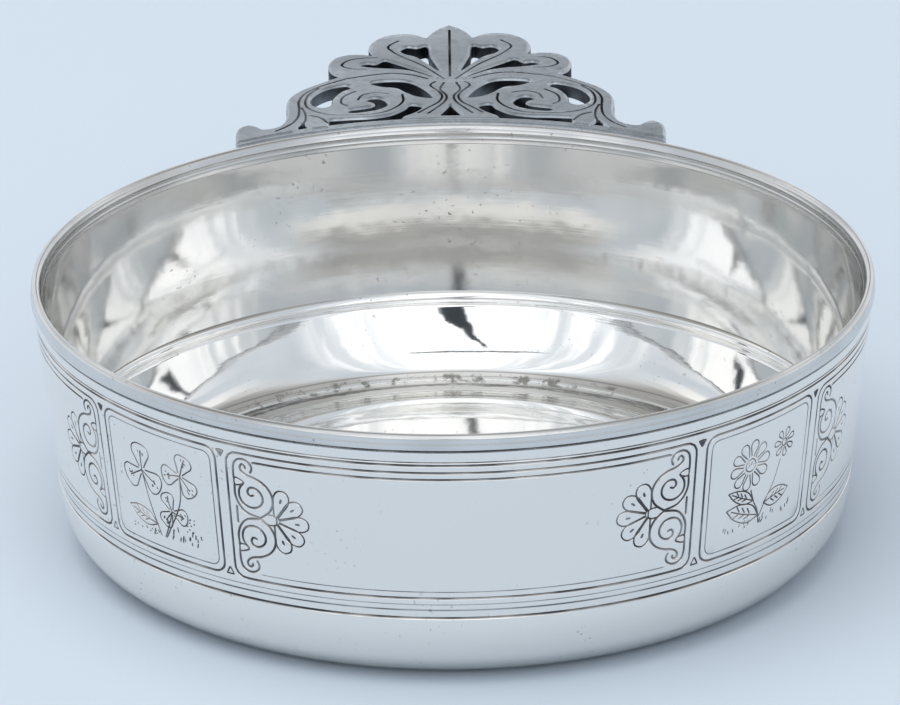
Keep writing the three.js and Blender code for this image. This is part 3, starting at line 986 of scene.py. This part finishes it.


def silver(name, bright, dull, oxide_and_shade, darkening, roughness, haze, cast=False, outside=None, wall=None):
    """Polished silver: wavering reflections, fine polishing marks, tarnish, darkened lines and painted shade
    in the handle's piercings.

    Its marks run round the axis, except on a cast piece, which has a grain. Bright and dull are the floor's
    colours on the bowl, which also gives those of its outside and inner wall: their darker colours are
    painted shade, standing in for the dimmer light that those parts reflect.
    """
    material = bpy.data.materials.new(name)
    sheet = FinishSheet(material)
    spot = sheet.node("ShaderNodeTexCoord", None, None, "Object")  # metres
    x, y, z = sheet.parts_of(spot)
    across = y - AXIS_Y * MM
    squared = x * x + across * across
    radius = squared.reckon("SQRT", squared)
    turn = x.reckon("ARCTAN2", x, across)

    patches = sheet.noise(spot, 46.0, 3.0)
    marks_at = spot if cast else sheet.joined(turn * 2.2, z * 900.0, radius * 900.0)
    marks = sheet.noise(marks_at, 900.0 if cast else 1.0, 3.0, 0.7)
    scuffs = sheet.noise(spot, 700.0, 5.0, 0.7)

    # Darkened places from the mesh: oxidised etched and chased lines and seams, and on the handle also
    # painted shade on the piercing walls
    etched = sheet.node("ShaderNodeAttribute", {"attribute_name": "oxide_and_shade"}, None, "Fac")
    worn = sheet.noise(spot, 130.0, 2.0).between(0.3, 0.62) * 0.45 + 0.55
    darkened = etched.between(*darkening) * worn

    freckles = sheet.noise(spot, 1300.0, 2.0).between(0.66, 0.72)
    freckled = sheet.noise(spot, 60.0, 2.0).between(0.46, 0.62)
    tarnish = freckles * freckled * 0.6
    if outside:
        # The worn ring at the foot of the inner wall, between two turned lines
        low = 1.0 - z.between(0.0027, 0.0032)
        off_ring = (radius - WORN_RING).size()
        ring = 1.0 - off_ring.between(0.0006, 0.0013)
        broken = sheet.noise(spot, 380.0, 5.0, 0.65).between(0.5, 0.62)
        tarnish = tarnish.at_least(ring * low * broken * 0.8)
        lines = 1.0 - (off_ring - 0.0013).size().between(0.00006, 0.00016)
        tarnish = tarnish.at_least(lines * low * 0.5)

    base = sheet.blend(patches.between(0.35, 0.7), bright, dull)
    if outside:
        # The outside and the inner wall take darker colours than the floor: painted shade, standing in for
        # the dimmer light that they reflect
        nx, ny, nz = sheet.parts_of(sheet.node("ShaderNodeTexCoord", None, None, "Normal"))
        inside = (nz * 0.03 - (nx * x + ny * across)).between(0.0, 0.01)
        on_wall = z.between(*WALL_FOOT)
        base = sheet.blend(on_wall, base, wall)
        base = sheet.blend(inside, outside, base)
        roughness = on_wall * 0.03 + roughness
    if cast:
        grain = scuffs.between(0.3, 0.7) * sheet.noise(spot, 240.0, 4.0, 0.7).between(0.25, 0.75)
        base = sheet.blend(grain * 0.7, base, colour(0.22, 0.235, 0.255))
    base = sheet.blend(tarnish, base, colour(0.25, 0.235, 0.21))
    base = sheet.blend(darkened, base, oxide_and_shade)
    polish = roughness + patches.between(0.3, 0.75) * haze + marks * haze * 0.6
    polish = (polish + tarnish * 0.3).at_least(0.02)
    gloss = polish + darkened * 0.35

    waver = sheet.noise(spot, 55.0, 1.0)
    if outside:
        dents = sheet.noise(spot, 150.0, 2.0)
        waver = (waver + dents * 0.45) * (inside * 5.0 + 1.0)
    hammered = sheet.node("ShaderNodeBump", None, {"Strength": 0.1, "Distance": 0.0001, "Height": waver})
    scratches = marks * 0.7 + scuffs * 0.5
    sockets = {"Strength": 0.2, "Distance": 0.00002, "Height": scratches, "Normal": hammered}
    scratched = sheet.node("ShaderNodeBump", None, sockets)
    sockets = {"Base Color": base, "Metallic": 1.0, "Roughness": gloss, "Normal": scratched}
    surface = sheet.node("ShaderNodeBsdfPrincipled", None, sockets)
    sheet.node("ShaderNodeOutputMaterial", None, {"Surface": surface})
    return material


def dress(piece, material, node):
    piece.data.materials.append(material)
    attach(piece, "root")
    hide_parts(node)


# The setting


def make_floor():
    mesh = bpy.data.meshes.new("table")
    reach = 2.5
    corners = [(-reach, -reach, 0), (reach, -reach, 0), (reach, reach, 0), (-reach, reach, 0)]
    mesh.from_pydata(corners, [], [(0, 1, 2, 3)])
    floor = put("table", mesh)
    material = bpy.data.materials.new("pale_table")
    sheet = FinishSheet(material)
    sockets = {"Base Color": colour(0.56, 0.63, 0.705), "Roughness": 0.9, "Specular IOR Level": 0.1}
    surface = sheet.node("ShaderNodeBsdfPrincipled", None, sockets)
    sheet.node("ShaderNodeOutputMaterial", None, {"Surface": surface})
    mesh.materials.append(material)


def make_world():
    """A light tent, which is most of what polished silver shows."""
    world = bpy.data.worlds.new("studio")
    bpy.context.scene.world = world
    sheet = FinishSheet(world)
    way = sheet.node("ShaderNodeTexCoord", None, None, "Generated")
    x, y, z = sheet.parts_of(way)
    forward = 0.0 - y

    # Degrees: turn is 0 before the bowl, rise is up from level, and arch goes from before it over its top
    degrees = 180 / math.pi
    turn = x.reckon("ARCTAN2", x, forward) * degrees
    rise = z.reckon("ARCSINE", z) * degrees
    arch = z.reckon("ARCTAN2", z, forward) * degrees

    # Pale cloth all round, white low down behind the bowl and in darker bands above that
    shade = sheet.noise(way, 2.6, 3.0).between(0.3, 0.7)
    base = sheet.blend(shade, colour(0.70, 0.755, 0.81), colour(0.62, 0.68, 0.74))
    behind = turn.size().between(60.0, 105.0)
    level = rise + sheet.noise(way, 3.0, 3.0) * 10.0 - 5.0
    base = sheet.blend(behind * (1.0 - level.between(22.0, 26.0)), base, colour(0.95, 0.97, 1.0))
    bands = (
        (31.0, 35.0, 1.05, 1.05, 1.03),
        (40.0, 44.0, 0.55, 0.55, 0.54),
        (46.0, 51.0, 0.38, 0.38, 0.375),
        (62.0, 68.0, 0.47, 0.475, 0.48),
    )
    for low, high, *tone in bands:
        base = sheet.blend(behind * level.between(low, high), base, colour(*tone))

    # A bright screen before the bowl, with soft folds towards its sides
    facing = turn.between(-72.0, -44.0) * (1.0 - turn.between(34.0, 52.0))
    facing = facing * arch.between(13.0, 15.0) * (1.0 - arch.between(74.0, 86.0))
    screen = sheet.blend(arch.between(34.0, 38.0), colour(1.36, 1.38, 1.4), colour(1.28, 1.31, 1.34))
    folds = sheet.noise(sheet.joined(turn * 0.14, rise * 0.012, 0.0), 1.0, 2.0).between(0.42, 0.6)
    screen = sheet.blend(folds * turn.size().between(13.0, 34.0), screen, colour(0.84, 0.89, 0.94))
    base = sheet.blend(facing, base, screen)

    # The roof
    base = sheet.blend(rise.between(72.0, 82.0), base, colour(0.82, 0.83, 0.83))

    # Dark places: an opening before the bowl that leans and narrows upwards, the screen's hem, one behind
    jagged = sheet.noise(way, 16.0, 4.0) * 8.0 - 4.0
    middle = 2.0 - (rise - 15.0) * 0.62
    half_width = 3.0 * (1.3 - rise.between(14.0, 34.0))
    opening = 1.0 - ((turn + jagged * 0.5 - middle).size() - half_width).between(-0.3, 0.3)
    gaps = opening * rise.between(15.6, 16.3) * (1.0 - rise.between(34.0, 37.0))
    hem = 1.0 - (arch + jagged * 0.12 - 40.5).size().between(0.4, 0.8)
    gaps = gaps.at_least(hem * turn.between(-34.0, -28.0) * (1.0 - turn.between(12.0, 17.0)))
    back = 1.0 - (turn + jagged * 0.5 - 176.5).size().between(3.2, 4.2)
    gaps = gaps.at_least(back * rise.between(17.0, 19.0) * (1.0 - rise.between(28.0, 30.0)))
    base = sheet.blend(gaps, base, colour(0.05, 0.06, 0.07))

    light = sheet.node("ShaderNodeBackground", None, {"Color": base, "Strength": 0.95})
    sheet.node("ShaderNodeOutputWorld", None, {"Surface": light})


def make_lamp():
    """A wide soft lamp for the table, which the polished silver doesn't show."""
    data = bpy.data.lights.new("softbox", "AREA")
    data.shape = "DISK"
    data.size = 1.6
    data.energy = 14.0
    lamp = put("softbox", data)
    lamp.location = (-0.3, -0.2, 1.5)
    lamp.rotation_euler = Vector((0.3, 0.2, -1.5)).to_track_quat("-Z", "Y").to_euler()
    lamp.visible_glossy = False


def make_camera():
    """The photograph's viewpoint: a long lens, 22.5 degrees above the table."""
    rise, roll = math.radians(22.465), math.radians(-0.697)
    distance, aim = 1016.0, (-0.54, AXIS_Y, 27.95)
    picture_width, focal_pixels = 900, 6721.5
    forward = Vector((0, math.cos(rise), -math.sin(rise)))
    data = bpy.data.cameras.new("viewpoint")
    data.lens = focal_pixels / picture_width * data.sensor_width
    data.clip_start, data.clip_end = 0.05, 20.0
    camera = put("viewpoint", data)
    place = (Vector(aim) - forward * distance) * MM
    rotation = Matrix.Rotation(math.pi / 2 - rise, 4, "X") @ Matrix.Rotation(roll, 4, "Z")
    camera.matrix_world = Matrix.Translation(place) @ rotation
    bpy.context.scene.camera = camera


make_camera()
make_floor()
make_world()
make_lamp()

# The bowl's outside and wall colours are painted shade, darker than its floor for the dimmer light those
# parts reflect
bowl_silver = silver(
    "polished_silver", colour(0.95, 0.94, 0.92), colour(0.89, 0.895, 0.895), colour(0.1, 0.105, 0.112),
    darkening=(0.05, 0.4), roughness=0.022, haze=0.025,
    outside=colour(0.86, 0.84, 0.815), wall=colour(0.825, 0.825, 0.815),
)
rim_silver = silver(
    "wire_silver", colour(0.72, 0.72, 0.715), colour(0.59, 0.59, 0.585), colour(0.07, 0.072, 0.076),
    darkening=(0.1, 0.6), roughness=0.1, haze=0.1,
)
handle_silver = silver(
    "cast_silver", colour(0.515, 0.56, 0.61), colour(0.375, 0.41, 0.45), colour(0.02, 0.023, 0.028),
    darkening=(0.05, 0.4), roughness=0.2, haze=0.14, cast=True,
)

dress(make_bowl(), bowl_silver, "bowl")
dress(make_rim(), rim_silver, "rim_wire")
dress(make_handle(), handle_silver, "handle")

bpy.context.scene.view_settings.view_transform = "Standard"
bpy.context.scene.cycles.glossy_bounces = 10  # the inside mirrors itself several times over
